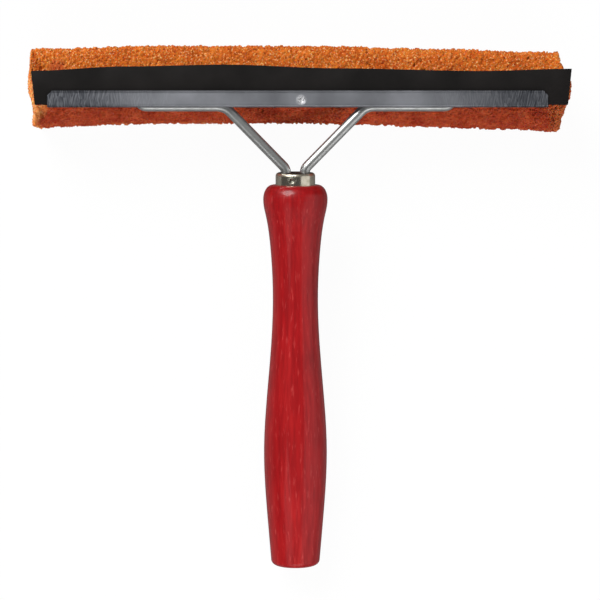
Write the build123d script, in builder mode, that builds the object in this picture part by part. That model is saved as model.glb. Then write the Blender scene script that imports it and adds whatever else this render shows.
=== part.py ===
from build123d import *
import os
from math import asin, atan2, cos, hypot, radians, sin, sqrt, tan

# Hand squeegee: a turned wooden handle, a fork of two bent wires and a sheet steel head that grips a
# rubber blade in front and a foam sponge behind. Millimetres. +X runs along the blade, +Y points from
# the butt of the handle to the wiping edge, and +Z comes out of the face that shows the blade. The
# squeegee lies on the back of its sponge and on the butt of its handle, both at Z = 0, and the origin
# is under the middle of its bounding box.

# Rubber blade, slid a little to one side in its channel
blade_length = 203.2
blade_seat_length = 200.4
blade_height = 13.6
blade_thickness = 2.0
blade_shift = 0.5

# Blade channel, a folded sheet: fold below the arms' line, low flange in front, high flange behind
channel_sheet = 0.6
channel_length = 188.0
channel_shift = -0.9
channel_drop = 0.6
fold_radius = 0.9
front_flange_height = 6.1
back_flange_height = 12.5
lead_in_height = 0.8
lead_in_flare = 0.25
front_corner_cut = 1.7
stake_diameter = 3.6
stake_depth = 0.7
stake_rise = 2.1

# Sponge clamp, a pair of jaws behind the blade channel with a trough for the wire tips
clamp_sheet = 0.6
clamp_length = 187.0
clamp_height = 9.4
clamp_bend_radius = 1.0
jaw_depth = 9.5
pinch = 1.0
pinch_length = 2.8
trough_lip_radius = 0.8
trough_floor_radius = 1.6

# Sponge
sponge_length = 205.5
sponge_height = 29.1
sponge_depth = 21.0
sponge_offset = 2.45
sponge_shoulder = 11.0
sponge_corner = 3.0
sponge_back_radius = 3.0

# Fork of two bent wires
wire_diameter = 3.8
fork_shift = -1.75
fork_half_span = 26.65
fork_angle = 44.4
fork_bend_radius = 3.5
arm_bend_radius = 7.0
tang_offset = 3.6
tang_depth = 45.0
arm_half_length = 57.3
step_angle = 42.0
step_radius = 3.2
tip_length = 18.0

# Ferrule, a thin cap over the tenon of the handle with one punch mark that locks it
ferrule_diameter = 15.0
ferrule_wall = 0.5
ferrule_height = 4.75
ferrule_rise = 1.4
ferrule_roll_radius = 1.3
punch_radius = 1.6
punch_depth = 0.4
punch_fall = 2.8
punch_side = -1.2

# Turned handle: its radius at the crest of the shoulder, brow, neck, waist, rise, belly, fall and butt,
# and how far each of them lies from the foot of the shoulder
handle_length = 146.1
shoulder_flat_radius = 8.8
crest_radius = 12.2
crest_distance = 5.4
brow_radius = 11.22
brow_distance = 11.6
neck_radius = 9.47
neck_distance = 24.0
waist_radius = 8.6
waist_distance = 45.2
rise_radius = 10.48
rise_distance = 75.9
belly_radius = 12.03
belly_distance = 101.0
fall_radius = 10.37
fall_distance = 131.8
butt_radius = 9.35
butt_rounding = 2.2
butt_taper = 5.0

# Clearances
blade_clearance = 0.05
wire_clearance = 0.1
tenon_clearance = 0.05
foam_clearance = 0.3
slot_clearance = 0.25

# Heights above the surface, from the jaws' mouth to the face of the head
wire_radius = wire_diameter / 2
mouth = sponge_depth + foam_clearance
head_plane = mouth + jaw_depth
arm_height = head_plane - wire_radius
trough_floor = head_plane - wire_diameter - wire_clearance
blade_back = head_plane + channel_sheet
blade_face = blade_back + blade_thickness
front_face = blade_face + channel_sheet

# Distances across the head from the line of the wire arms, towards the wiping edge
clamp_bottom = wire_radius + 2 * wire_clearance
clamp_middle = clamp_bottom + clamp_height / 2
clamp_top = clamp_bottom + clamp_height
step_run = clamp_middle / tan(radians(step_angle))
blade_seat = max(fold_radius, channel_sheet) + blade_clearance - channel_drop
back_flange_top = back_flange_height - channel_drop
front_flange_top = front_flange_height - channel_drop
sponge_middle = clamp_middle + sponge_offset
sponge_top = sponge_middle + sponge_height / 2
sponge_bottom = sponge_middle - sponge_height / 2

# Distances along the handle from the line of the wire arms, towards the butt
fork_corner = (fork_half_span - tang_offset) / tan(radians(fork_angle))
fork_bend_end = fork_corner + fork_bend_radius * tan(radians(fork_angle / 2))
ferrule_top = fork_corner + ferrule_rise
tenon_top = ferrule_top + ferrule_wall + tenon_clearance
shoulder = ferrule_top + ferrule_height
tang_end = shoulder + tang_depth
handle_end = shoulder + handle_length

# The handle slopes down from the arms until the rounded edge of its butt touches the surface
edge_along = handle_end - butt_rounding
edge_across = butt_radius - butt_rounding
slope = asin((arm_height - butt_rounding) / hypot(edge_along, edge_across)) - atan2(edge_across, edge_along)
handle_reach = edge_along * cos(slope) + edge_across * sin(slope) + butt_rounding
arm_line = (handle_reach - sponge_top) / 2

arm_middle = (fork_shift, arm_line, arm_height)
handle_direction = (0, -cos(slope), -sin(slope))
handle_axis = Axis(arm_middle, handle_direction)
fork_plane = Plane(origin=arm_middle, x_dir=handle_direction, z_dir=(0, -sin(slope), cos(slope)))
ferrule_plane = Plane(
    origin=fork_plane.from_local_coords((ferrule_top, 0, 0)), x_dir=(1, 0, 0), z_dir=(0, cos(slope), sin(slope))
)


def head_section(along):
    """The plane of the head's section at one X: its x is across the head and its y is the height."""
    return Plane(origin=(along, arm_line, 0), x_dir=(0, 1, 0), z_dir=(1, 0, 0))


# Blade stake: a dimple in the front flange, whose underside is a cap that bites into the rubber
stake_sphere_radius = (stake_diameter**2 / 4 + stake_depth**2) / (2 * stake_depth)
stake_centre = (blade_shift, arm_line + stake_rise, front_face + stake_sphere_radius - stake_depth)


def stake_cap(growth):
    """The underside of the stake below the middle of the front flange, grown by a clearance."""
    with BuildPart() as cap:
        with Locations(stake_centre):
            Sphere(stake_sphere_radius + channel_sheet + growth)
        split(bisect_by=Plane.XY.offset(blade_face + channel_sheet / 2), keep=Keep.BOTTOM)
    return cap.part


# Blade channel
with BuildPart() as blade_channel:
    with BuildSketch(head_section(channel_shift)):
        with BuildLine():
            FilletPolyline(
                (back_flange_top, head_plane),
                (-channel_drop, head_plane),
                (-channel_drop, front_face),
                (front_flange_top - lead_in_height, front_face),
                (front_flange_top, front_face + lead_in_flare),
                radius=fold_radius,
            )
            offset(amount=channel_sheet, side=Side.RIGHT)
        make_face()
    extrude(amount=channel_length / 2, both=True)
    add(stake_cap(0))
    with Locations(stake_centre):
        Sphere(stake_sphere_radius, mode=Mode.SUBTRACT)
    with BuildSketch(Plane.XY.offset(blade_face)):
        with Locations((channel_shift, arm_line + front_flange_top)):
            with GridLocations(channel_length, 0, 2, 1):
                Rectangle(front_corner_cut * sqrt(2), front_corner_cut * sqrt(2), rotation=45)
    extrude(amount=2 * channel_sheet, mode=Mode.SUBTRACT)

# Rubber blade, a little shorter along its seat than along its wiping edge
with BuildPart() as rubber_blade:
    with BuildSketch(Plane((blade_shift, arm_line + blade_seat, blade_back))):
        with BuildLine():
            Polyline(
                (-blade_seat_length / 2, 0),
                (blade_seat_length / 2, 0),
                (blade_length / 2, blade_height),
                (-blade_length / 2, blade_height),
                close=True,
            )
        make_face()
    extrude(amount=blade_thickness)
    add(stake_cap(blade_clearance), mode=Mode.SUBTRACT)


def bent_wire(side, radius):
    """One wire of the fork, from its tang in the handle to its tip in the trough; side is 1 or -1."""
    step_end = arm_half_length + step_run
    with BuildPart() as wire:
        with BuildLine() as route:
            FilletPolyline(
                fork_plane.from_local_coords((tang_end, side * tang_offset, 0)),
                fork_plane.from_local_coords((fork_corner, side * tang_offset, 0)),
                fork_plane.from_local_coords((0, side * fork_half_span, 0)),
                (fork_shift + side * arm_half_length, arm_line, arm_height),
                (fork_shift + side * step_end, arm_line + clamp_middle, arm_height),
                (fork_shift + side * (step_end + tip_length), arm_line + clamp_middle, arm_height),
                radius=[fork_bend_radius, arm_bend_radius, step_radius, step_radius],
            )
        with BuildSketch(Plane(route.wires()[0] @ 0, z_dir=route.wires()[0] % 0)):
            Circle(radius)
        sweep()
    return wire


left_wire = bent_wire(-1, wire_radius)
right_wire = bent_wire(1, wire_radius)

# Sponge clamp, with a notch in its lower jaw where each wire steps up into the trough
with BuildPart() as sponge_clamp:
    trough_half_width = wire_radius + wire_clearance
    with BuildSketch(head_section(channel_shift)):
        with BuildLine():
            FilletPolyline(
                (clamp_top - pinch, mouth),
                (clamp_top, mouth + pinch_length),
                (clamp_top, head_plane),
                (clamp_middle + trough_half_width, head_plane),
                (clamp_middle + trough_half_width, trough_floor),
                (clamp_middle - trough_half_width, trough_floor),
                (clamp_middle - trough_half_width, head_plane),
                (clamp_bottom, head_plane),
                (clamp_bottom, mouth + pinch_length),
                (clamp_bottom + pinch, mouth),
                radius=[
                    clamp_bend_radius,
                    clamp_bend_radius,
                    trough_lip_radius,
                    trough_floor_radius,
                    trough_floor_radius,
                    trough_lip_radius,
                    clamp_bend_radius,
                    clamp_bend_radius,
                ],
            )
            offset(amount=clamp_sheet, side=Side.LEFT)
        make_face()
    extrude(amount=clamp_length / 2, both=True)
    with BuildSketch(Plane.XY.offset(trough_floor)):
        with Locations((fork_shift, arm_line + clamp_bottom)):
            with GridLocations(2 * arm_half_length + step_run, 0, 2, 1):
                Rectangle(step_run + wire_diameter, 2 * (clamp_middle - clamp_bottom))
    extrude(amount=head_plane - trough_floor, mode=Mode.SUBTRACT)

# Sponge, pinched to a neck in the jaws and fanned out behind them
with BuildPart() as sponge:
    neck_half_height = clamp_height / 2 - clamp_sheet - foam_clearance
    pinched_half_height = neck_half_height - pinch
    neck_front = trough_floor - clamp_sheet - foam_clearance
    with BuildSketch(head_section(0)):
        with BuildLine():
            Bezier(
                (clamp_middle + pinched_half_height, sponge_depth),
                (sponge_top - sponge_corner, sponge_depth),
                (sponge_top, sponge_depth - sponge_corner),
                (sponge_top, sponge_depth - sponge_shoulder),
            )
            Polyline(
                (clamp_middle + pinched_half_height, sponge_depth),
                (clamp_middle + pinched_half_height, mouth),
                (clamp_middle + neck_half_height, mouth + pinch_length),
                (clamp_middle + neck_half_height, neck_front),
                (clamp_middle - neck_half_height, neck_front),
                (clamp_middle - neck_half_height, mouth + pinch_length),
                (clamp_middle - pinched_half_height, mouth),
                (clamp_middle - pinched_half_height, sponge_depth),
            )
            Bezier(
                (clamp_middle - pinched_half_height, sponge_depth),
                (sponge_bottom + sponge_corner, sponge_depth),
                (sponge_bottom, sponge_depth - sponge_corner),
                (sponge_bottom, sponge_depth - sponge_shoulder),
            )
            FilletPolyline(
                (sponge_bottom, sponge_depth - sponge_shoulder),
                (sponge_bottom, 0),
                (sponge_top, 0),
                (sponge_top, sponge_depth - sponge_shoulder),
                radius=sponge_back_radius,
            )
        make_face()
    extrude(amount=sponge_length / 2, both=True)

# Punch mark, a round dimple that presses the wall of the ferrule into the tenon
ferrule_radius = ferrule_diameter / 2
ferrule_bore_radius = ferrule_radius - ferrule_wall
punch_lean = asin(punch_side / ferrule_radius)
punch_reach = ferrule_radius + punch_radius - punch_depth
punch_centre = fork_plane.from_local_coords(
    (ferrule_top + punch_fall, punch_reach * sin(punch_lean), punch_reach * cos(punch_lean))
)

# Ferrule, a drawn cup with a slot in its top for the two wires
with BuildPart() as ferrule_hollow:
    with BuildSketch(fork_plane):
        with BuildLine():
            FilletPolyline(
                (ferrule_top + ferrule_wall, 0),
                (ferrule_top + ferrule_wall, ferrule_bore_radius),
                (shoulder, ferrule_bore_radius),
                radius=ferrule_roll_radius - ferrule_wall,
            )
            Polyline((shoulder, ferrule_bore_radius), (shoulder, 0), (ferrule_top + ferrule_wall, 0))
        make_face()
    revolve(axis=handle_axis)
    with Locations(punch_centre):
        Sphere(punch_radius + ferrule_wall, mode=Mode.SUBTRACT)

with BuildPart() as ferrule:
    with BuildSketch(fork_plane):
        with BuildLine():
            FilletPolyline(
                (ferrule_top, 0),
                (ferrule_top, ferrule_radius),
                (shoulder, ferrule_radius),
                radius=ferrule_roll_radius,
            )
            Polyline((shoulder, ferrule_radius), (shoulder, 0), (ferrule_top, 0))
        make_face()
    revolve(axis=handle_axis)
    with Locations(punch_centre):
        Sphere(punch_radius, mode=Mode.SUBTRACT)
    add(ferrule_hollow.part, mode=Mode.SUBTRACT)
    bend_left = max(fork_bend_end - ferrule_top, 0)
    bend_inner_radius = fork_bend_radius - wire_radius
    wire_edge = tang_offset + fork_bend_radius - sqrt(bend_inner_radius**2 - bend_left**2)
    with BuildSketch(ferrule_plane):
        SlotOverall(2 * (wire_edge + slot_clearance), wire_diameter + 2 * slot_clearance)
    extrude(amount=2 * ferrule_wall, both=True, mode=Mode.SUBTRACT)

# Handle, turned round its axis, with a hole for each tang that follows the wire
with BuildPart() as handle:
    tenon_radius = ferrule_bore_radius - tenon_clearance
    with BuildSketch(fork_plane):
        with BuildLine():
            FilletPolyline(
                (tenon_top, 0),
                (tenon_top, tenon_radius),
                (shoulder, tenon_radius),
                (shoulder, shoulder_flat_radius),
                radius=[ferrule_roll_radius, 0],
            )
            EllipticalCenterArc(
                (shoulder + crest_distance, shoulder_flat_radius),
                crest_distance,
                crest_radius - shoulder_flat_radius,
                start_angle=90,
                arc_size=90,
            )
            body = Spline(
                (shoulder + crest_distance, crest_radius),
                (shoulder + brow_distance, brow_radius),
                (shoulder + neck_distance, neck_radius),
                (shoulder + waist_distance, waist_radius),
                (shoulder + rise_distance, rise_radius),
                (shoulder + belly_distance, belly_radius),
                (shoulder + fall_distance, fall_radius),
                (edge_along, butt_radius),
                tangents=((1, 0), (1, -tan(radians(butt_taper)))),
            )
            RadiusArc(body @ 1, (handle_end, edge_across), butt_rounding)
            Polyline((handle_end, edge_across), (handle_end, 0), (tenon_top, 0))
        make_face()
    revolve(axis=handle_axis)
    with Locations(punch_centre):
        Sphere(punch_radius + ferrule_wall + tenon_clearance, mode=Mode.SUBTRACT)
    add(bent_wire(1, wire_radius + wire_clearance).part, mode=Mode.SUBTRACT)
    add(bent_wire(-1, wire_radius + wire_clearance).part, mode=Mode.SUBTRACT)

pieces = {
    "handle": handle,
    "ferrule": ferrule,
    "left_wire": left_wire,
    "right_wire": right_wire,
    "blade_channel": blade_channel,
    "rubber_blade": rubber_blade,
    "sponge_clamp": sponge_clamp,
    "sponge": sponge,
}
os.makedirs("parts", exist_ok=True)
for name, piece in pieces.items():
    piece.part.label = name
    export_step(piece.part, f"parts/{name}.step")
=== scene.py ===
# %% [markdown]
# # A window squeegee with a red wooden handle
#
# The squeegee is a turned, lacquered handle, a ferrule, a fork of two bent wires, a folded steel head, a
# strip of black rubber and a block of orange foam. The hard parts come from the CAD model at their real
# size, so they only need a finish. The soft parts, the foam and the rubber, are modelled here, because
# their charm is in what CAD leaves out: pores, a wavy cut edge and ends that bulge out of the clamp.
#
# Everything is in metres and in the frame of the CAD model: +X runs along the blade, +Y points from the
# butt of the handle to the wiping edge, and +Z comes out of the face that shows the blade.

import math

import bmesh
import bpy
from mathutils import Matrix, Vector


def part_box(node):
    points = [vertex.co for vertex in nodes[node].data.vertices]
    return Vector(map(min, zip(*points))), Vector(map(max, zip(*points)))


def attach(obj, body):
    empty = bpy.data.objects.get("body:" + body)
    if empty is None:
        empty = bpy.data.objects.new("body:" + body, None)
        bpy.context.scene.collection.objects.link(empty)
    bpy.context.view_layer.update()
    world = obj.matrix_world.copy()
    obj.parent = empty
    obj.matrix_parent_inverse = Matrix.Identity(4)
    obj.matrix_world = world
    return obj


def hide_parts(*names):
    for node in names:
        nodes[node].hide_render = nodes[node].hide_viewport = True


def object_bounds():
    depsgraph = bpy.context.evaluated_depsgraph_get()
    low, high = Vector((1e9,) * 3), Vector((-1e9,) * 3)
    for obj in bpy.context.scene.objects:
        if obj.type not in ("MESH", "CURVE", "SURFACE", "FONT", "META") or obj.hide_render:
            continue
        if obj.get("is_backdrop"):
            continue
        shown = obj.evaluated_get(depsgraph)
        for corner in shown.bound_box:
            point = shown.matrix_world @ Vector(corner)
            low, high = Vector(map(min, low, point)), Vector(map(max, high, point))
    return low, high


MM = 0.001

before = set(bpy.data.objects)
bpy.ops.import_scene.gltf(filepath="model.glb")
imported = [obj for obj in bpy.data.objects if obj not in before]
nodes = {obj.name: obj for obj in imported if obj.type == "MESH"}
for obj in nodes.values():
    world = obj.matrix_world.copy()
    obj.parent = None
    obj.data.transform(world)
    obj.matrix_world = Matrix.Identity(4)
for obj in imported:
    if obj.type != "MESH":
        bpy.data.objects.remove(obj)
cad_low, cad_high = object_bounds()
for name in sorted(nodes):
    low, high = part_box(name)
    size = " x ".join(f"{side / MM:.1f}" for side in high - low)
    print(f"{name}: {size} mm")

# %% [markdown]
# ## Camera
#
# The squeegee lies on a table and is seen from straight above, from about a metre, through a long lens.
# A camera that has not been turned looks down its own -Z with +Y up, so it only has to be lifted. The
# lens follows from how much of the table the square picture shows at the height of the head.

# %% Camera
VIEW_DISTANCE = 1000 * MM
VIEW_WIDTH = 225.2 * MM
HEAD_FACE = 34 * MM
PICTURE_CENTRE = 2.8 * MM
SENSOR_WIDTH = 36

bpy.ops.object.camera_add(location=(0, PICTURE_CENTRE, HEAD_FACE + VIEW_DISTANCE), rotation=(0, 0, 0))
camera = bpy.context.object
camera.name = "camera"
camera.data.sensor_width = SENSOR_WIDTH
camera.data.lens = SENSOR_WIDTH * VIEW_DISTANCE / VIEW_WIDTH
bpy.context.scene.camera = camera
print(f"lens: {camera.data.lens:.1f} mm")

# %% [markdown]
# ## Tools for modelling
#
# Blender's operators act on whatever is selected. Working by hand you click; in a script you describe
# the place of what you want. These helpers start a piece as a box, select points or faces by a rule, cut
# a piece across and apply a modifier. The last one is an easy curve between two places.

# %% Tools for modelling
def add_box(name, low, high):
    """Add a cube primitive that spans the box from low to high."""
    bpy.ops.object.select_all(action="DESELECT")
    bpy.ops.mesh.primitive_cube_add(size=1)
    box = bpy.context.object
    box.name = box.data.name = name
    box.scale = [b - a for a, b in zip(low, high)]
    box.location = [(a + b) / 2 for a, b in zip(low, high)]
    bpy.ops.object.transform_apply(location=True, rotation=True, scale=True)
    return box


def select_points(piece, wanted):
    """In edit mode, select the points whose place passes the rule, and no others."""
    bpy.ops.mesh.select_all(action="DESELECT")
    bpy.ops.mesh.select_mode(type="VERT")
    mesh = bmesh.from_edit_mesh(piece.data)
    for point in mesh.verts:
        point.select_set(wanted(point.co))
    mesh.select_flush_mode()
    bmesh.update_edit_mesh(piece.data)


def select_faces(piece, wanted):
    """In edit mode, select the faces whose centre and normal pass the rule, and no others."""
    bpy.ops.mesh.select_all(action="DESELECT")
    bpy.ops.mesh.select_mode(type="FACE")
    mesh = bmesh.from_edit_mesh(piece.data)
    for face in mesh.faces:
        face.select_set(wanted(face.calc_center_median(), face.normal))
    bmesh.update_edit_mesh(piece.data)


def cut_across(piece, places):
    """In edit mode, cut the whole piece at each place along X, which adds a loop of edges."""
    for place in places:
        bpy.ops.mesh.select_all(action="SELECT")
        bpy.ops.mesh.bisect(plane_co=(place, 0, 0), plane_no=(1, 0, 0))


def apply_modifier(piece, kind, **settings):
    """Add one modifier, set it and apply it to the mesh."""
    modifier = piece.modifiers.new(kind.title(), kind)
    for name, value in settings.items():
        setattr(modifier, name, value)
    bpy.context.view_layer.objects.active = piece
    bpy.ops.object.modifier_apply(modifier=modifier.name)


def smooth_step(value, start, end):
    """0 before start, 1 after end, with an easy curve between them."""
    share = min(max((value - start) / (end - start), 0), 1)
    return share * share * (3 - 2 * share)


# %% [markdown]
# ## Sponge
#
# The sponge is one block of foam. A steel clamp pinches its front into a neck, and the foam fans out
# behind the jaws. Past the two ends of the clamp nothing holds it, so it swells forward again: at the left
# end until it meets the rubber, and at the right end, which has gone flat with use, only a little. What
# the jaws squeeze sideways pushes the end faces out.
#
# A real sponge is a squeezed block, so it is modelled in that order. A box is drawn out to the front in
# layers, each as wide as the foam is at that height. Cuts near the ends give them points of their own,
# and those are moved to where free foam would stand. A Subdivision Surface then rounds the whole shape.

# %% Sponge: a block that is drawn out in layers
sponge_low, sponge_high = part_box("sponge")
clamp_low, clamp_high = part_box("sponge_clamp")
JAWS_MIDDLE = (clamp_low.y + clamp_high.y) / 2
BLOCK_FRONT = 10 * MM
BACK_TAPER = 0.8 * MM

# Each pinched layer: height above the table, then how far it reaches below and above the middle of the
# jaws. Each free layer: height and reach on the lower side, then height and reach on the upper side.
reach_down = JAWS_MIDDLE - sponge_low.y
reach_up = sponge_high.y - JAWS_MIDDLE
PINCHED = [
    (17.0 * MM, reach_down - 1.4 * MM, reach_up),
    (20.6 * MM, reach_down - 5.0 * MM, reach_up - 1.6 * MM),
    (21.3 * MM, 4.6 * MM, 6.0 * MM),
    (21.1 * MM, 2.4 * MM, 2.4 * MM),
    (23.0 * MM, 3.0 * MM, 3.0 * MM),
    (25.9 * MM, 3.2 * MM, 3.2 * MM),
]
FREE = [
    (27.0 * MM, reach_down, 19.0 * MM, reach_up),
    (30.0 * MM, reach_down - 0.3 * MM, 24.0 * MM, reach_up - 0.5 * MM),
    (30.3 * MM, 6.5 * MM, 26.0 * MM, 8.0 * MM),
    (30.3 * MM, 4.5 * MM, 28.0 * MM, 4.5 * MM),
    (30.3 * MM, 3.0 * MM, 29.0 * MM, 3.0 * MM),
    (30.3 * MM, 1.5 * MM, 30.0 * MM, 1.5 * MM),
]

half_length = sponge_high.x
back_low = (sponge_low.x, sponge_low.y + BACK_TAPER, sponge_low.z)
back_high = (sponge_high.x, sponge_high.y - BACK_TAPER, BLOCK_FRONT)
sponge = add_box("foam_sponge", back_low, back_high)
bpy.ops.object.mode_set(mode="EDIT")
select_faces(sponge, lambda centre, normal: normal.z > 0.5)
height, down, up = BLOCK_FRONT, reach_down - BACK_TAPER, reach_up - BACK_TAPER
for next_height, next_down, next_up in PINCHED:
    bpy.ops.mesh.extrude_region_move(TRANSFORM_OT_translate={"value": (0, 0, next_height - height)})
    bpy.ops.transform.resize(
        value=(1, (next_down + next_up) / (down + up), 1),
        center_override=(0, JAWS_MIDDLE + (up - down) / 2, next_height),
    )
    bpy.ops.transform.translate(value=(0, (next_up - next_down - up + down) / 2, 0))
    height, down, up = next_height, next_down, next_up
bpy.ops.object.mode_set(mode="OBJECT")
print(f"sponge cage: {len(sponge.data.vertices)} points")

# %% [markdown]
# The cuts are close together where the foam lets go, and loose in between. Three more cuts lie along the
# block, one just in front of its back and two on the back itself, and keep the back edges crisp. Both ends
# were cut with a knife, so their edges get a crease, which a Subdivision Surface leaves sharp.

# %% Sponge: cuts that give the ends their own points
BACK_EDGE = 2.5 * MM
MIDDLE_CUTS = [-30 * MM, 0, 30 * MM]
END_CUTS = [70 * MM, 86 * MM, 91.5 * MM, 94.5 * MM, 96.0 * MM, 97.5 * MM, 99.0 * MM, 101 * MM]
SAME_PLACE = 0.05 * MM

bpy.ops.object.mode_set(mode="EDIT")
cut_across(sponge, [-place for place in END_CUTS] + MIDDLE_CUTS + END_CUTS)
bpy.ops.mesh.select_all(action="SELECT")
bpy.ops.mesh.bisect(plane_co=(0, 0, BACK_EDGE), plane_no=(0, 0, 1))
for edge in (back_low[1] + BACK_EDGE, back_high[1] - BACK_EDGE):
    select_faces(sponge, lambda centre, normal: abs(centre.z) < BACK_EDGE)
    bpy.ops.mesh.bisect(plane_co=(0, edge, 0), plane_no=(0, 1, 0))
select_points(sponge, lambda place: abs(place.x) > half_length - SAME_PLACE)
bpy.ops.transform.edge_crease(value=1)
bpy.ops.object.mode_set(mode="OBJECT")
print(f"sponge cage: {len(sponge.data.vertices)} points")

# %% [markdown]
# Now the ends are let go. Every point of the pinched cage belongs to a layer, and its free place is the
# same layer's place in the second list. The foam lets go a little later further away from the jaws, so
# the crease between pinched and free foam runs outwards at a slant, as it does on a real sponge. The two
# ends differ, so their values come in pairs. LEFT and RIGHT are also the sign of X at that end.

# %% Sponge: the ends swell forward past the clamp
channel_low, channel_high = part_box("blade_channel")
LEFT, RIGHT = -1, 1
LATE_CREASE = 0.4 * MM
CREASE_START = {LEFT: -channel_low.x + LATE_CREASE, RIGHT: channel_high.x}
CREASE_SLANT = 0.68
CREASE_WIDTH = {LEFT: 2.2 * MM, RIGHT: 5 * MM}
UPPER_CREASE_WIDTH = 7 * MM
SWELL = {LEFT: 1.0, RIGHT: 0.2}
JAWS_REACH = 6.6 * MM


def layer_of(place):
    """The number of the pinched layer that a point lies on, or None for a point of the block."""
    for number, (height, down, up) in enumerate(PINCHED):
        edge = JAWS_MIDDLE + up if place.y > JAWS_MIDDLE else JAWS_MIDDLE - down
        if abs(place.z - height) < SAME_PLACE and abs(place.y - edge) < SAME_PLACE:
            return number
    return None


def free_place(number, upper):
    """Height and Y of a layer on one side where the end of the sponge is free."""
    lower_height, down, upper_height, up = FREE[number]
    return (upper_height, JAWS_MIDDLE + up) if upper else (lower_height, JAWS_MIDDLE - down)


for point in sponge.data.vertices:
    number = layer_of(point.co)
    if number is None:
        continue
    height, free_y = free_place(number, point.co.y > JAWS_MIDDLE)
    beyond_jaws = max(abs(free_y - JAWS_MIDDLE) - JAWS_REACH, 0)
    side = RIGHT if point.co.x > 0 else LEFT
    start = CREASE_START[side] + CREASE_SLANT * beyond_jaws
    width = UPPER_CREASE_WIDTH if point.co.y > JAWS_MIDDLE else CREASE_WIDTH[side]
    share = smooth_step(abs(point.co.x), start, start + width)
    point.co.y += share * (free_y - point.co.y)
    point.co.z += SWELL[side] * share * (height - point.co.z)

apply_modifier(sponge, "SUBSURF", levels=3, render_levels=3)
print(f"sponge: {len(sponge.data.vertices)} points after rounding")

# %% [markdown]
# No sponge is straight. Its two long edges wander by a millimetre or two, and its cut ends bulge level
# with the jaws, where the foam is squeezed out sideways. The edges are told as a few places along the
# sponge and how far the foam strays there, and each end face as a few places in Y and its X there, all in
# millimetres, with an easy curve in between. The neck in the jaws stays where it is.

# %% Sponge: wandering edges and bulging ends
def ease_through(stops, place):
    """The value at a place along a list of (place, value) stops, with an easy curve between them."""
    if place <= stops[0][0]:
        return stops[0][1]
    for (start, first), (end, last) in zip(stops, stops[1:]):
        if place < end:
            return first + (last - first) * smooth_step(place, start, end)
    return stops[-1][1]


UPPER_EDGE = [
    (-102, -0.9), (-92, -1.0), (-75, -0.4), (-60, 0.1), (-10, 0.1), (15, -0.1), (40, -1.0), (60, -1.2),
    (85, -2.3), (101, -2.2),
]
LOWER_EDGE = [
    (-101, -1.6), (-93, -1.0), (-75, -0.2), (-50, 0.3), (0, 0.4), (25, -0.2), (45, -0.9), (60, -1.4),
    (80, -1.9), (95, -2.6), (101, -3.0),
]
END_LINE = {
    LEFT: [
        (69, -101.2), (73, -100.4), (75.5, -100.3), (78, -101.2), (82, -102.3), (87, -102.5), (91, -102.4),
    ],
    RIGHT: [(68, 98.2), (74.5, 99.2), (79.5, 102.2), (86, 102.7), (91, 100.4), (97.5, 98.3)],
}
NECK_REACH = 4.5 * MM
FREE_REACH = 11 * MM
END_ZONE = 0.9

for point in sponge.data.vertices:
    x, y, z = point.co
    stops = UPPER_EDGE if y > JAWS_MIDDLE else LOWER_EDGE
    away = smooth_step(abs(y - JAWS_MIDDLE), NECK_REACH, FREE_REACH)
    point.co.y += away * ease_through(stops, x / MM) * MM
    side = RIGHT if x > 0 else LEFT
    near_end = smooth_step(abs(x), END_ZONE * half_length, half_length)
    point.co.x += near_end * (ease_through(END_LINE[side], y / MM) * MM - side * half_length)
places = [point.co.x for point in sponge.data.vertices]
print(f"sponge: {(max(places) - min(places)) / MM:.1f} mm long")

# %% [markdown]
# ## Pores
#
# Foam is a crowd of small open cells with thin walls. Seen from a hand's width away, the eye reads soft
# lumps, nubs, a fine cell pattern and a few torn holes. Each is one Displace modifier with its own
# procedural texture. The lumps only push the two long sides in and out, which gives those their torn
# outline and leaves the back flat. All of them need many small faces to act on, so the block is first
# remeshed into even quads of less than half a millimetre.

# %% Sponge: pores
FOAM_FACE = 0.37 * MM
LUMPS_FROM = 8 * MM
LUMP_HEIGHT = 1.3 * MM
NUB_HEIGHT = 0.7 * MM
CELL_DEPTH = 0.4 * MM
HOLE_DEPTH = 0.6 * MM


def add_texture(name, kind, size, stops, **settings):
    """A procedural texture for a Displace modifier, with its grey values remapped by a ramp."""
    texture = bpy.data.textures.new(name, kind)
    texture.noise_scale = size
    for setting, value in settings.items():
        setattr(texture, setting, value)
    texture.use_color_ramp = True
    for element, (position, value) in zip(texture.color_ramp.elements, stops):
        element.position = position
        element.color = (value, value, value, 1)
    return texture


lumps = add_texture("foam_lumps", "CLOUDS", 1.6 * MM, [(0.3, 0), (0.7, 1)])
cells = add_texture("foam_cells", "VORONOI", 1.1 * MM, [(0.0, 1), (0.45, 0)], weight_1=-1, weight_2=1)
nubs = add_texture("foam_nubs", "CLOUDS", 0.8 * MM, [(0.3, 0), (0.6, 1)])
holes = add_texture("foam_holes", "VORONOI", 3.4 * MM, [(0.1, 0), (0.22, 1)])

apply_modifier(sponge, "REMESH", mode="VOXEL", voxel_size=FOAM_FACE)
sides = sponge.vertex_groups.new(name="sides")
far = [point.index for point in sponge.data.vertices if abs(point.co.y - JAWS_MIDDLE) > LUMPS_FROM]
sides.add(far, 1.0, "REPLACE")
apply_modifier(
    sponge,
    "DISPLACE",
    texture=lumps,
    texture_coords="LOCAL",
    strength=LUMP_HEIGHT,
    direction="Y",
    vertex_group="sides",
)
apply_modifier(sponge, "DISPLACE", texture=nubs, texture_coords="LOCAL", strength=NUB_HEIGHT, mid_level=0.7)
apply_modifier(sponge, "DISPLACE", texture=cells, texture_coords="LOCAL", strength=CELL_DEPTH)
apply_modifier(sponge, "DISPLACE", texture=holes, texture_coords="LOCAL", strength=HOLE_DEPTH, mid_level=1)
for point in sponge.data.vertices:
    point.co.z = max(point.co.z, 0)  # the sponge lies flat on the table
bpy.ops.object.shade_smooth()
sponge.data.calc_loop_triangles()
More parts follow.
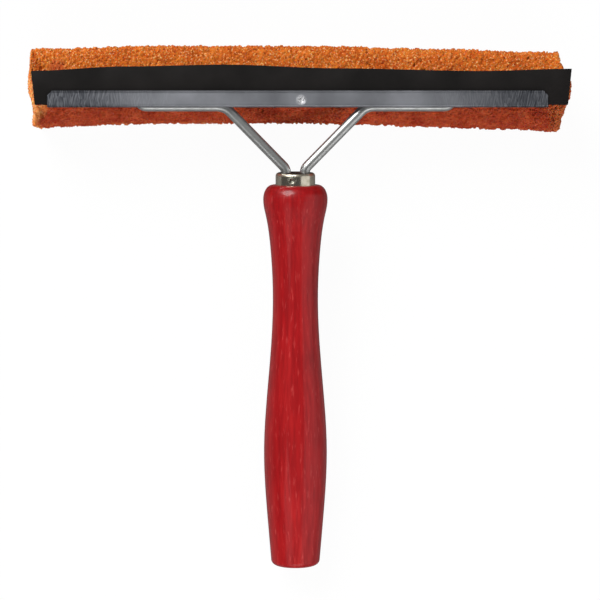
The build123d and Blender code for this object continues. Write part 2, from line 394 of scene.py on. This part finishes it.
print(f"sponge: {len(sponge.data.loop_triangles)} triangles")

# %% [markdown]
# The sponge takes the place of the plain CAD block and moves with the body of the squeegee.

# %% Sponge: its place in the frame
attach(sponge, "root")
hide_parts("sponge")
print(f"foam_sponge: {len(sponge.data.polygons)} faces in place of the plain block")

# %% [markdown]
# ## Rubber strip
#
# The blade is a strip of rubber, cut a little shorter along the edge that sits in the channel. It could
# stay the straight CAD box, but rubber is never quite straight, and the wave of its wiping edge is what
# shows that it is soft. So a new box gets cuts all along its length, its seat is narrowed with one resize,
# and then each point of the free edge is moved by the wave at its place.

# %% Rubber strip
strip_low, strip_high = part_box("rubber_blade")
SEAT_TRIM = 1.4 * MM
STRIP_CUT = 5 * MM
EDGE_BAND = 1 * MM
EDGE_ROUNDING = 0.15 * MM
WIPING_EDGE = [(-101, -0.9), (-66, 0.75), (-28, 1.45), (14, 0.05), (68, -0.95), (102, -0.1)]

strip = add_box("rubber_strip", strip_low, strip_high)
bpy.ops.object.mode_set(mode="EDIT")
strip_length = strip_high.x - strip_low.x
cut_count = int(strip_length / STRIP_CUT)
cut_across(strip, [strip_low.x + strip_length * cut / cut_count for cut in range(1, cut_count)])
select_points(strip, lambda place: place.y < strip_low.y + EDGE_BAND)
bpy.ops.transform.resize(
    value=(1 - 2 * SEAT_TRIM / strip_length, 1, 1),
    center_override=((strip_low.x + strip_high.x) / 2, strip_low.y, strip_low.z),
)
bpy.ops.mesh.select_all(action="SELECT")
bpy.ops.mesh.bisect(plane_co=(0, (strip_low.y + strip_high.y) / 2, 0), plane_no=(0, 1, 0))
bpy.ops.object.mode_set(mode="OBJECT")
for point in strip.data.vertices:
    if point.co.y > strip_high.y - EDGE_BAND:
        point.co.y += ease_through(WIPING_EDGE, point.co.x / MM) * MM
apply_modifier(strip, "BEVEL", width=EDGE_ROUNDING, segments=2, limit_method="ANGLE")
print(f"rubber strip: {cut_count - 1} cuts, {len(strip.data.vertices)} points")

# %% [markdown]
# A single blow with a punch drives the middle of the channel into the rubber, and that keeps the strip
# from sliding out. The rubber needs a dent there, so a ball a little larger than the underside of the
# punch mark is subtracted from it with a Boolean modifier, and then deleted. The ball is turned a little,
# because edges that lie exactly on each other give a Boolean slivers.

# %% Rubber strip: the dent under the punch mark of the channel
STAKE_CENTRE = (0.5 * MM, 77.94 * MM, 35.965 * MM)
STAKE_UNDERSIDE = 3.32 * MM
BALL_TURN = math.radians(2)
SMOOTH_BELOW = math.radians(40)

bpy.ops.object.select_all(action="DESELECT")
bpy.ops.mesh.primitive_uv_sphere_add(
    segments=48, ring_count=24, radius=STAKE_UNDERSIDE, location=STAKE_CENTRE, rotation=(0, 0, BALL_TURN)
)
ball = bpy.context.object
apply_modifier(strip, "BOOLEAN", object=ball, operation="DIFFERENCE", solver="EXACT")
bpy.ops.object.select_all(action="DESELECT")
ball.select_set(True)
bpy.ops.object.delete()
bpy.context.view_layer.objects.active = strip
strip.select_set(True)
bpy.ops.object.shade_smooth_by_angle(angle=SMOOTH_BELOW)
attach(strip, "root")
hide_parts("rubber_blade")
print(f"rubber strip: {len(strip.data.vertices)} points")

# %% [markdown]
# ## Tools for materials
#
# A procedural material is a small recipe: textures make patterns, ramps turn patterns into colours and
# roughness, and a bump node turns them into relief. These helpers add one node at a time and wire it up.
# Colours are written as they look on a screen, from 0 to 255.

# %% Tools for materials: colours and nodes
def colour(red, green, blue):
    """A screen colour from 0 to 255 as Blender's linear colour."""
    channels = [value / 255 for value in (red, green, blue)]
    return [c / 12.92 if c <= 0.04045 else ((c + 0.055) / 1.055) ** 2.4 for c in channels] + [1]


def grey(value):
    """A number from 0 to 1, such as a roughness, as a colour."""
    return (value, value, value, 1)


def shader_of(material):
    """The Principled shader of a material."""
    return material.node_tree.nodes["Principled BSDF"]


def start_material(name, **sockets):
    """A material whose Principled shader has these plain values on its own sockets."""
    material = bpy.data.materials.new(name)
    material.use_nodes = True
    for socket, value in sockets.items():
        shader_of(material).inputs[socket.replace("_", " ")].default_value = value
    return material


def wire(material, source, node, socket):
    """Link an output to an input of a node."""
    material.node_tree.links.new(source, node.inputs[socket])


def finish_material(material, **wires):
    """Wire outputs to the Principled shader."""
    for socket, source in wires.items():
        wire(material, source, shader_of(material), socket.replace("_", " "))
    print(f"material {material.name}: {len(material.node_tree.nodes)} nodes")
    return material


def add_node(material, kind, inputs, **settings):
    """Add a node; each input is a plain value or the output it is wired to."""
    node = material.node_tree.nodes.new("ShaderNode" + kind)
    for name, value in settings.items():
        setattr(node, name, value)
    for socket, value in inputs.items():
        if isinstance(value, bpy.types.NodeSocket):
            wire(material, value, node, socket)
        else:
            node.inputs[socket].default_value = value
    return node


# %% [markdown]
# Patterns start from a place on the piece. Noise makes clouds of it and Voronoi makes cells, and the
# distance from a centre marks one spot.

# %% Tools for materials: patterns
def place_pattern(material, stretch=(1, 1, 1), centre=(0, 0, 0), turn=(0, 0, 0)):
    """Object coordinates, centred and turned on a piece and stretched along its own axes."""
    place = add_node(material, "TexCoord", {})
    sockets = {"Vector": place.outputs["Object"], "Location": centre, "Rotation": turn, "Scale": stretch}
    return add_node(material, "Mapping", sockets, vector_type="TEXTURE").outputs["Vector"]


def split_axes(material, place):
    """The X, Y and Z of a place as three numbers."""
    return add_node(material, "SeparateXYZ", {"Vector": place}).outputs


def add_noise(material, place, size, detail=3, distortion=0):
    """Soft cloudy noise with features of about this size."""
    sockets = {"Vector": place, "Scale": 1 / size, "Detail": detail, "Distortion": distortion}
    return add_node(material, "TexNoise", sockets).outputs["Fac"]


def add_cells(material, place, size):
    """Voronoi cells of about this size, as the distance from the middle of the nearest cell."""
    return add_node(material, "TexVoronoi", {"Vector": place, "Scale": 1 / size}).outputs["Distance"]


def add_distance(material, place, centre):
    """How far a place is from a centre, in metres."""
    sockets = {0: place, 1: centre}
    return add_node(material, "VectorMath", sockets, operation="DISTANCE").outputs["Value"]


# %% [markdown]
# A pattern is only a number at each place. A little arithmetic turns it into a mask, a ramp or a mix into
# colours, and a bump into relief.

# %% Tools for materials: numbers, colours and relief
def add_math(material, operation, *values):
    """One step of arithmetic on numbers and outputs."""
    return add_node(material, "Math", dict(enumerate(values)), operation=operation).outputs["Value"]


def add_range(material, value, start, end, lowest=0.0):
    """The lowest number up to the start of a range, 1 past its end, and an even slope in between."""
    sockets = {"Value": value, "From Min": start, "From Max": end, "To Min": lowest}
    return add_node(material, "MapRange", sockets).outputs["Result"]


def add_ramp(material, factor, *stops):
    """A ramp through (position, colour) stops, where a single number is a grey."""
    ramp = add_node(material, "ValToRGB", {"Fac": factor})
    elements = ramp.color_ramp.elements
    while len(elements) < len(stops):
        elements.new(0.5)
    for element, (position, value) in zip(elements, sorted(stops, key=lambda stop: stop[0])):
        element.position = position
        element.color = grey(value) if isinstance(value, (int, float)) else value
    return ramp.outputs["Color"]


def add_mix(material, factor, first, second, blend="MIX"):
    """Two colours mixed by a factor."""
    sockets = {"Fac": factor, "Color1": first, "Color2": second}
    return add_node(material, "MixRGB", sockets, blend_type=blend).outputs["Color"]


def add_bump(material, height, depth, strength, under=None):
    """Relief of this depth in metres, on top of another relief if there is one."""
    sockets = {"Height": height, "Distance": depth, "Strength": strength}
    if under:
        sockets["Normal"] = under
    return add_node(material, "Bump", sockets).outputs["Normal"]


# %% [markdown]
# ## Red lacquered wood
#
# The handle is turned beech under a tinted lacquer. The grain runs along the handle, so the pattern is
# turned onto the handle's own axis and stretched along it: what was round noise becomes long fibres. The
# lacquer is a clear coat over that, glossier than the wood and with its own faint ripple. On the shoulder
# behind the ferrule it is rubbed duller, so the coat's roughness goes up there.

# %% Red lacquered wood
handle_low, handle_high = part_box("handle")
HANDLE_SLOPE = math.radians(6.48)
HANDLE_MIDDLE = (handle_low + handle_high) / 2
SHOULDER_START = 50 * MM
SHOULDER_END = 76 * MM
LACQUER_GLOSS = 0.06

RED = colour(166, 14, 20)
DARK_GRAIN = colour(126, 4, 10)
LIGHT_GRAIN = colour(198, 38, 38)
DARK_FIGURE = colour(148, 8, 14)
LIGHT_FIGURE = colour(180, 24, 26)
PALE_FLECK = colour(222, 92, 88)


def grained_wood(wood, along, fine, surface):
    """The tinted colour of the wood: broad figure, fine grain, worn patches and short pale flecks."""
    broad = add_noise(wood, place_pattern(wood, stretch=(1, 9, 1), **along), 5 * MM, distortion=0.6)
    figure = add_ramp(wood, broad, (0.3, DARK_FIGURE), (0.5, RED), (0.7, LIGHT_FIGURE))
    grain = add_ramp(wood, fine, (0.3, DARK_GRAIN), (0.5, RED), (0.72, LIGHT_GRAIN))
    body = add_mix(wood, 0.4, figure, grain)
    worn = add_noise(wood, surface, 16 * MM, detail=2)
    shade = add_ramp(wood, worn, (0.35, 0.81), (0.65, 0.93))
    body = add_mix(wood, 1.0, body, shade, blend="MULTIPLY")
    short = add_noise(wood, place_pattern(wood, stretch=(1, 7, 1), **along), 0.7 * MM)
    flecks = add_ramp(wood, short, (0.6, 0.0), (0.76, 0.35))
    return add_mix(wood, flecks, body, PALE_FLECK)


def make_lacquered_wood():
    """Beech under a clear coat that is rubbed duller on the shoulder."""
    wood = start_material("red_lacquered_wood", Specular_IOR_Level=0.2, Coat_Weight=0.5, Coat_IOR=1.45)
    along = dict(centre=HANDLE_MIDDLE, turn=(HANDLE_SLOPE, 0, 0))
    surface = place_pattern(wood, **along)
    fine = add_noise(wood, place_pattern(wood, stretch=(1, 22, 1), **along), 0.9 * MM, detail=4)
    body = grained_wood(wood, along, fine, surface)
    rough = add_ramp(wood, fine, (0.3, 0.5), (0.7, 0.4))
    relief = add_bump(wood, fine, 0.04 * MM, 0.4)

    peel = add_noise(wood, surface, 1.4 * MM)
    ripple = add_bump(wood, peel, 0.03 * MM, 0.4, under=add_bump(wood, fine, 0.02 * MM, 0.3))
    near_head = add_range(wood, split_axes(wood, surface)["Y"], SHOULDER_START, SHOULDER_END)
    shoulder = add_ramp(wood, near_head, (0.15, 0.0), (0.45, 1.0), (0.76, 1.0), (0.84, 0.0))
    rubbed = add_ramp(wood, peel, (0.38, 0.22), (0.62, 0.09))
    gloss = add_mix(wood, shoulder, grey(LACQUER_GLOSS), rubbed)
    return finish_material(
        wood, Base_Color=body, Roughness=rough, Normal=relief, Coat_Roughness=gloss, Coat_Normal=ripple
    )


# %% [markdown]
# ## Nickel plate
#
# Metals show their surroundings more than a colour of their own. What tells them apart is how clear that
# reflection is and what disturbs it. Nickel plate is smooth and warm, with faint rings from turning. On
# the ferrule a punch has crushed it on top; the crushed patch is mottled dark and light: scars, and
# painted glints and shade of the dimple. Its front face is painted dark, as painted shade, and the rim
# around that is satin. Each of these is a mask made from a distance on the piece, which mixes a colour
# or a roughness in.

# %% Nickel plate
PUNCH_MARK = (-3.0 * MM, 47.9 * MM, 33.0 * MM)
PUNCH_EDGE = 2.0 * MM
PUNCH_INSIDE = 1.4 * MM
FRONT_FACE = (-1.75 * MM, 51.06 * MM, 26.08 * MM)
FACE_BLEND = (-0.35 * MM, -0.15 * MM)
RIM_BLEND = (-1.6 * MM, -0.9 * MM)


def make_nickel():
    """Warm polished plate, a crushed punch mark with painted glints, a painted-shade front face, a satin
    rim.
    """
    nickel = start_material("nickel_plate", Metallic=1)
    surface = place_pattern(nickel)
    mottled = add_noise(nickel, surface, 1.6 * MM, detail=4)
    plate = add_ramp(nickel, mottled, (0.3, colour(220, 211, 188)), (0.6, colour(240, 231, 212)))
    bright = add_ramp(nickel, mottled, (0.35, 0.24), (0.7, 0.14))

    crushed = add_range(nickel, add_distance(nickel, surface, PUNCH_MARK), PUNCH_EDGE, PUNCH_INSIDE)
    # The crushed patch: scars, mottled dark and light as painted glints and shade of the dimple.
    glint_mottle = add_noise(nickel, surface, 0.55 * MM, detail=2)
    dimple = add_ramp(nickel, glint_mottle, (0.38, colour(78, 76, 62)), (0.62, colour(206, 206, 190)))
    plate = add_mix(nickel, crushed, plate, dimple)
    rough = add_mix(nickel, crushed, bright, grey(0.5))

    # The front face is painted dark, as painted shade.
    on_ferrule = place_pattern(nickel, centre=FRONT_FACE, turn=(HANDLE_SLOPE, 0, 0))
    along = split_axes(nickel, on_ferrule)["Y"]
    plate = add_mix(nickel, add_range(nickel, along, *FACE_BLEND), plate, colour(70, 64, 54))
    rough = add_mix(nickel, add_range(nickel, along, *RIM_BLEND), rough, grey(0.36))

    rings = add_noise(nickel, place_pattern(nickel, stretch=(12, 1, 12)), 0.35 * MM, detail=2)
    relief = add_bump(nickel, rings, 0.01 * MM, 0.6)
    return finish_material(nickel, Base_Color=plate, Roughness=rough, Normal=relief)


# %% [markdown]
# ## Zinc wire
#
# The fork is drawn steel wire with a thin coat of zinc, which is satin rather than bright. One noise makes
# it darker and duller in soft patches, in colour and roughness at once, and a finer one is the relief of
# its scuffs.

# %% Zinc wire
def make_zinc_wire():
    """Satin zinc with dull patches and fine scuffs."""
    zinc = start_material("zinc_wire", Metallic=0.97)
    surface = place_pattern(zinc)
    dull = add_noise(zinc, surface, 2.5 * MM, detail=4)
    plate = add_ramp(zinc, dull, (0.3, colour(196, 198, 196)), (0.65, colour(222, 224, 222)))
    rough = add_ramp(zinc, dull, (0.3, 0.42), (0.7, 0.33))
    scuffs = add_noise(zinc, surface, 0.6 * MM, detail=2)
    relief = add_bump(zinc, scuffs, 0.01 * MM, 0.5)
    return finish_material(zinc, Base_Color=plate, Roughness=rough, Normal=relief)


# %% [markdown]
# ## Zinc sheet
#
# The channel and the clamp are folded zinc-coated sheet. It is plain and dull in the middle. Towards its
# ends it has been rubbed across, and the strokes lean left in some places and right in others: two
# stretched noises at different angles, with a third that picks between them. Where the punch struck the
# channel into the rubber, the coat is gone and the metal is bare; it is painted lighter and mottled and
# made less metallic, as painted light against the shade of the pit.

# %% Zinc sheet
STREAKS_START = 45 * MM
STREAKS_FULL = 80 * MM
STREAK_WIDTH = 0.42 * MM
LEAN_LEFT = math.radians(9)
LEAN_RIGHT = math.radians(-12)
MIDDLE_START = 8 * MM
MIDDLE_END = 36 * MM
MIDDLE_SHADE = 0.84
STROKE_RELIEF = 0.85
STRUCK_PLACE = (0.4 * MM, 77.9 * MM, 34.0 * MM)
STRUCK_EDGE = 2.2 * MM
STRUCK_INSIDE = 1.2 * MM


def rubbed_strokes(zinc, surface):
    """Thin strokes across the sheet that lean left in some places and right in others."""
    leaning = [
        add_noise(zinc, place_pattern(zinc, stretch=(1, 12, 12), turn=(0, 0, lean)), STREAK_WIDTH, detail=2)
        for lean in (LEAN_LEFT, LEAN_RIGHT)
    ]
    patches = add_ramp(zinc, add_noise(zinc, surface, 3 * MM, detail=1), (0.46, 0.0), (0.54, 1.0))
    return add_mix(zinc, patches, *leaning)


def plain_sheet(zinc, surface, outwards):
    """The colour of the sheet where nothing has rubbed it, a little darker in the very middle."""
    dull = add_noise(zinc, surface, 12 * MM)
    plain = add_ramp(zinc, dull, (0.3, colour(156, 158, 164)), (0.7, colour(188, 190, 197)))
    middle = add_range(zinc, outwards, MIDDLE_START, MIDDLE_END, lowest=MIDDLE_SHADE)
    return add_mix(zinc, 1.0, plain, middle, blend="MULTIPLY")


def make_zinc_sheet():
    """Dull sheet with rubbed ends and a bare punch mark, painted lighter as painted light."""
    zinc = start_material("zinc_sheet")
    surface = place_pattern(zinc)
    strokes = rubbed_strokes(zinc, surface)
    outwards = add_math(zinc, "ABSOLUTE", split_axes(zinc, surface)["X"])
    near_end = add_range(zinc, outwards, STREAKS_START, STREAKS_FULL)
    rubbed = add_ramp(
        zinc, strokes, (0.32, colour(70, 72, 77)), (0.5, colour(102, 104, 110)), (0.7, colour(152, 154, 160))
    )
    plate = add_mix(zinc, near_end, plain_sheet(zinc, surface, outwards), rubbed)
    rough = add_mix(zinc, near_end, grey(0.42), add_ramp(zinc, strokes, (0.3, 0.55), (0.7, 0.4)))

    # The punch mark: bare metal, painted lighter and mottled as painted light in its pit.
    struck = add_range(zinc, add_distance(zinc, surface, STRUCK_PLACE), STRUCK_EDGE, STRUCK_INSIDE)
    mottled = add_noise(zinc, surface, 0.5 * MM, detail=2)
    pit_light = add_ramp(zinc, mottled, (0.35, colour(120, 120, 122)), (0.65, colour(236, 236, 238)))
    plate = add_mix(zinc, struck, plate, pit_light)
    metal = add_mix(zinc, struck, grey(1), grey(0.6))
    rough = add_mix(zinc, struck, rough, grey(0.65))

    depth = add_math(zinc, "MULTIPLY", near_end, STROKE_RELIEF)
    relief = add_bump(zinc, add_math(zinc, "MULTIPLY", strokes, depth), 0.03 * MM, 0.5)
    return finish_material(zinc, Base_Color=plate, Metallic=metal, Roughness=rough, Normal=relief)


# %% [markdown]
# ## Black rubber
#
# Black rubber is not black: it reflects a few percent of the light evenly, and a haze of dust and talc
# lightens it in soft patches. Its relief is fine grit over the lines that the die left along the strip.

# %% Black rubber
def make_rubber():
    """Matt, nearly black rubber with a soft haze."""
    rubber = start_material("black_rubber", Specular_IOR_Level=0.15)
    surface = place_pattern(rubber)
    haze = add_noise(rubber, surface, 14 * MM, detail=4)
    tone = add_ramp(rubber, haze, (0.35, colour(16, 14, 13)), (0.7, colour(23, 20, 19)))
    rough = add_ramp(rubber, haze, (0.3, 0.78), (0.7, 0.62))
    grit = add_noise(rubber, surface, 0.4 * MM, detail=2)
    drawn = add_noise(rubber, place_pattern(rubber, stretch=(30, 1, 1)), 0.5 * MM, detail=2)
    relief = add_bump(rubber, grit, 0.02 * MM, 0.5, under=add_bump(rubber, drawn, 0.02 * MM, 0.5))
    return finish_material(rubber, Base_Color=tone, Roughness=rough, Normal=relief)


# %% [markdown]
# ## Orange foam
#
# Foam takes its colour from dye, which varies in soft patches. Its own orange shows on the upper side,
# the back and the left end. The lower side, in the shade of the head, is painted a darker red, as
# painted shade. One spot near the left end of the upper side, in the hollow where the foam dives into the
# jaws, gets most of that painted shade too. The knife-cut end faces and the lower part of the free ends
# are painted paler still, as painted light, more so on the left. These places are masks again, and they
# have to follow the shape of the foam, so the cut face and the free end are worked out from the same
# values that shaped the mesh.

# %% Orange foam: masks for the cut faces and the free ends
CUT_SPAN = (66, 100)
CUT_REACH = (97, 103)
CUT_DEPTH = 0.35 * MM
CUT_SURFACE = 0.05 * MM
FREE_SLANT = {LEFT: 0.5, RIGHT: 0.2}
FREE_WIDTH = {LEFT: 2.2 * MM, RIGHT: 4 * MM}


def cut_face(foam, axes, side):
    """1 on the knife-cut face at one end of the sponge, 0 elsewhere.

    A ramp draws the line of the end face. It only holds numbers from 0 to 1, so its span in Y and its
    reach in X, in millimetres, are brought onto that scale, and the reach is brought back. The face
    counts from a little way inside that line, because its pores lie behind it.
    """
    first, last = CUT_SPAN
    least, most = CUT_REACH
    along = add_range(foam, axes["Y"], first * MM, last * MM)
    stops = [((y - first) / (last - first), (side * x - least) / (most - least)) for y, x in END_LINE[side]]
    reach = add_math(foam, "MULTIPLY_ADD", add_ramp(foam, along, *stops), (most - least) * MM, least * MM)
    past = add_math(foam, "SUBTRACT", add_math(foam, "MULTIPLY", axes["X"], side), reach)
    return add_range(foam, past, -CUT_DEPTH, -CUT_SURFACE)


def free_end(foam, axes, side):
    """1 on the foam past one end of the jaws, 0 where the jaws pinch it."""
    slant = FREE_SLANT[side]
    lift = add_math(foam, "MULTIPLY_ADD", axes["Y"], slant, -slant * (JAWS_MIDDLE - JAWS_REACH))
    past = add_math(foam, "MULTIPLY_ADD", axes["X"], side, lift)
    return add_range(foam, past, CREASE_START[side], CREASE_START[side] + FREE_WIDTH[side])


# %% [markdown]
# Light goes a little way into foam before it comes out again, which the shader's subsurface does. A
# Voronoi pattern paints shade into the middle of each cell and light towards its walls, and the same
# pattern is a bump, because the mesh is too coarse for crisp walls. Light rims are painted highlights,
# only where no shade is painted, and deep red pits are painted shade. Each has a noise of its own, and
# the one of the pits starts from another place, so that it doesn't repeat the rims.

# %% Orange foam
# Painted shade covers the lower side, below a line that leans back with the height of the foam.
SHADE_EDGE_SLOPE = 0.63
SHADE_EDGE_FROM = JAWS_MIDDLE - 15.6 * MM
SHADE_EDGE_OVER = 6 * MM
# A spot of painted shade in the hollow where the upper foam dives into the jaws.
SHADE_SPOT = (-92.5 * MM, 91.5 * MM, 21.5 * MM)
SPOT_INSIDE = 2.0 * MM
SPOT_EDGE = 4.0 * MM
SPOT_UNSHADED = 0.4
# How much painted light each end of the foam gets.
END_LIGHT_SHARE = {LEFT: 0.75, RIGHT: 0.25}
PIT_OFFSET = (31 * MM, 17 * MM, 7 * MM)

# A light orange, painted on the ends as painted light.
LIT_END_FOAM = colour(250, 166, 98)
# Painted highlights on the rims and painted shade in the pits.
RIM_HIGHLIGHT = colour(252, 196, 132)
PIT_SHADE = colour(134, 34, 14)


def unshaded_foam(foam, surface, upper, left_end, left_cut):
    """1 outside the painted shade: the upper side, the back and the left end, but for one spot."""
    unshaded = add_math(foam, "MAXIMUM", upper, left_end)
    # Painted shade in the hollow by the left end of the jaws.
    from_spot = add_distance(foam, surface, SHADE_SPOT)
    spot = add_range(foam, from_spot, SPOT_INSIDE, SPOT_EDGE, lowest=SPOT_UNSHADED)
    return add_math(foam, "MAXIMUM", add_math(foam, "MULTIPLY", unshaded, spot), left_cut)


def light_and_shade_in_cells(foam, surface, body, cells, unshaded):
    """The colour with painted shade in cells and pits and painted highlights on rims."""
    # Painted shade in the middle of each cell, painted light towards its walls.
    cell_shade = add_ramp(foam, cells, (0.08, 0.84), (0.4, 0.98), (0.75, 1.08))
    body = add_mix(foam, 1.0, body, cell_shade, blend="MULTIPLY")
    # Painted highlights on rims, only where no shade is painted.
    glint_noise = add_ramp(foam, add_noise(foam, surface, 0.75 * MM), (0.56, 0.0), (0.67, 0.85))
    highlights = add_mix(foam, 1.0, glint_noise, unshaded, blend="MULTIPLY")
    body = add_mix(foam, highlights, body, RIM_HIGHLIGHT)
    # Painted shade in the pits.
    pit_noise = add_noise(foam, place_pattern(foam, centre=PIT_OFFSET), 0.8 * MM)
    return add_mix(foam, add_ramp(foam, pit_noise, (0.55, 0.0), (0.68, 0.75)), body, PIT_SHADE)


def make_foam():
    """Dyed foam with painted shade below, a spot of it above and painted light on the ends."""
    foam = start_material(
        "orange_foam",
        Roughness=0.9,
        Specular_IOR_Level=0.2,
        Subsurface_Weight=0.5,
        Subsurface_Radius=(1, 0.3, 0.08),
        Subsurface_Scale=0.7 * MM,
    )
    surface = place_pattern(foam)
    axes = split_axes(foam, surface)
    leaning = add_math(foam, "MULTIPLY_ADD", axes["Z"], -SHADE_EDGE_SLOPE, axes["Y"])
    upper = add_range(foam, leaning, SHADE_EDGE_FROM, SHADE_EDGE_FROM + SHADE_EDGE_OVER)
    cut = {side: cut_face(foam, axes, side) for side in (LEFT, RIGHT)}
    free = {side: free_end(foam, axes, side) for side in (LEFT, RIGHT)}
    unshaded = unshaded_foam(foam, surface, upper, free[LEFT], cut[LEFT])

    dye = add_noise(foam, surface, 6 * MM, detail=4)
    # The darker red is painted shade for the lower side; the orange is the foam's own colour.
    painted_shade_red = add_ramp(foam, dye, (0.35, colour(158, 57, 34)), (0.65, colour(190, 84, 50)))
    foam_orange = add_ramp(foam, dye, (0.35, colour(198, 94, 24)), (0.65, colour(220, 121, 39)))
    body = add_mix(foam, unshaded, painted_shade_red, foam_orange)
    # Painted light on the cut faces and the lower part of the free ends.
    lower = add_math(foam, "SUBTRACT", 1, upper)
    for side in (LEFT, RIGHT):
        end = add_math(foam, "MAXIMUM", add_math(foam, "MULTIPLY", free[side], lower), cut[side])
        body = add_mix(foam, add_math(foam, "MULTIPLY", end, END_LIGHT_SHARE[side]), body, LIT_END_FOAM)

    cells = add_cells(foam, surface, 1.0 * MM)
    body = light_and_shade_in_cells(foam, surface, body, cells, unshaded)
    relief = add_bump(foam, cells, 0.15 * MM, 0.8)
    return finish_material(foam, Base_Color=body, Normal=relief)


# %% [markdown]
# ## Dressing the pieces
#
# One finish can serve several pieces. A CAD node keeps its mesh and only gets the material in its slot.

# %% Dress the pieces
def dress(piece, material):
    """Give a piece one material, whatever it had before."""
    piece.data.materials.clear()
    piece.data.materials.append(material)


zinc_sheet = make_zinc_sheet()
zinc_wire = make_zinc_wire()
dress(nodes["handle"], make_lacquered_wood())
dress(nodes["ferrule"], make_nickel())
dress(nodes["left_wire"], zinc_wire)
dress(nodes["right_wire"], zinc_wire)
dress(nodes["blade_channel"], zinc_sheet)
dress(nodes["sponge_clamp"], zinc_sheet)
dress(strip, make_rubber())
dress(sponge, make_foam())

# %% [markdown]
# ## Table and light
#
# The table is a plain white sheet. To the camera it nearly all glows white, so the background is clean
# without more light falling on the squeegee, and the rest is white paint, which keeps a faint shadow. To
# light that bounces it is a grey paint, and in the shine of the metal it is darker still and glows only
# faintly, because a white table all round would take away the contrast that makes metal look like metal.
# The Light Path node tells these rays apart.

# %% Table
TABLE_SIZE = 4.0
GLOW_TO_CAMERA = 0.96
GLOW_TO_GLOSS = 0.03
WHITE_PAINT = 0.95
BOUNCED_PAINT = 0.45
GLOSS_PAINT = 0.2


def make_table_top():
    """White to the camera, greyer to every other ray."""
    top = bpy.data.materials.new("table_top")
    top.use_nodes = True
    top.node_tree.nodes.clear()
    rays = add_node(top, "LightPath", {}).outputs
    glow = add_math(top, "MULTIPLY", rays["Is Camera Ray"], GLOW_TO_CAMERA)
    glow = add_math(top, "MULTIPLY_ADD", rays["Is Glossy Ray"], GLOW_TO_GLOSS, glow)
    paint = add_mix(top, rays["Is Glossy Ray"], grey(BOUNCED_PAINT), grey(GLOSS_PAINT))
    paint = add_mix(top, rays["Is Camera Ray"], paint, grey(WHITE_PAINT))
    matt = add_node(top, "BsdfDiffuse", {"Color": paint}).outputs["BSDF"]
    light = add_node(top, "Emission", {"Strength": 1.0}).outputs["Emission"]
    mixed = add_node(top, "MixShader", {"Fac": glow, 1: matt, 2: light}).outputs["Shader"]
    add_node(top, "OutputMaterial", {"Surface": mixed})
    return top


bpy.ops.object.select_all(action="DESELECT")
bpy.ops.mesh.primitive_plane_add(size=TABLE_SIZE)
table = bpy.context.object
table.name = "table_top"
dress(table, make_table_top())
table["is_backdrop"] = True
print(f"table: {TABLE_SIZE} m square")

# %% [markdown]
# The key light is a soft box above the far left, the only strong light. The other panels are dim, and
# each is there for one thing: the side panel and the front panel are what the metal mirrors, the corner
# panel draws the light stripe along the left wire, and the fill light brightens what is matt. The fill
# light is hidden from reflections, so it leaves the metal alone. Straight above it is nearly dark, and
# that is what gives the metal its contrast.

# %% Lamps
def add_panel(name, place, width, height, power):
    """A soft box at a place, facing the squeegee."""
    bpy.ops.object.light_add(type="AREA", location=place)
    lamp = bpy.context.object
    lamp.name = name
    lamp.data.shape = "RECTANGLE"
    lamp.data.size = width
    lamp.data.size_y = height
    lamp.data.energy = power
    lamp.rotation_mode = "QUATERNION"
    lamp.rotation_quaternion = (-Vector(place)).to_track_quat("-Z", "Y")
    print(f"{name}: {width} x {height} m, {power} W")
    return lamp


add_panel("key_light", (-0.90, 1.44, 1.53), 1.35, 1.35, 54)
add_panel("side_panel", (1.00, -0.20, 0.53), 1.6, 1.25, 3.9)
add_panel("front_panel", (0.05, -1.00, 0.70), 1.4, 0.5, 3.4)
add_panel("corner_panel", (-0.93, -0.93, 1.56), 0.8, 0.8, 1.3)
fill_light = add_panel("fill_light", (0.05, -1.00, 0.75), 1.4, 0.5, 8.0)
fill_light.visible_glossy = False

# %% [markdown]
# The world beyond the table is white to the camera and nearly dark to everything else, for the same
# reason as the table. The Standard view shows the colours as they were chosen.

# %% World
WORLD_LIGHT = 0.07

world = bpy.data.worlds.new("studio")
bpy.context.scene.world = world
world.use_nodes = True
world.node_tree.nodes.clear()
dim = add_node(world, "Background", {"Color": grey(1), "Strength": WORLD_LIGHT}).outputs["Background"]
bright = add_node(world, "Background", {"Color": grey(1), "Strength": 1.0}).outputs["Background"]
rays = add_node(world, "LightPath", {}).outputs
mixed = add_node(world, "MixShader", {"Fac": rays["Is Camera Ray"], 1: dim, 2: bright}).outputs["Shader"]
add_node(world, "OutputWorld", {"Surface": mixed})
bpy.context.scene.view_settings.view_transform = "Standard"
print(f"world: {WORLD_LIGHT} of white around the table")

low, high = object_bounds()
boxes = {"cad": [list(cad_low), list(cad_high)], "visual": [list(low), list(high)]}
for name, (lowest, highest) in boxes.items():
    print(name, [f"{a / MM:.1f} to {b / MM:.1f} mm" for a, b in zip(lowest, highest)])
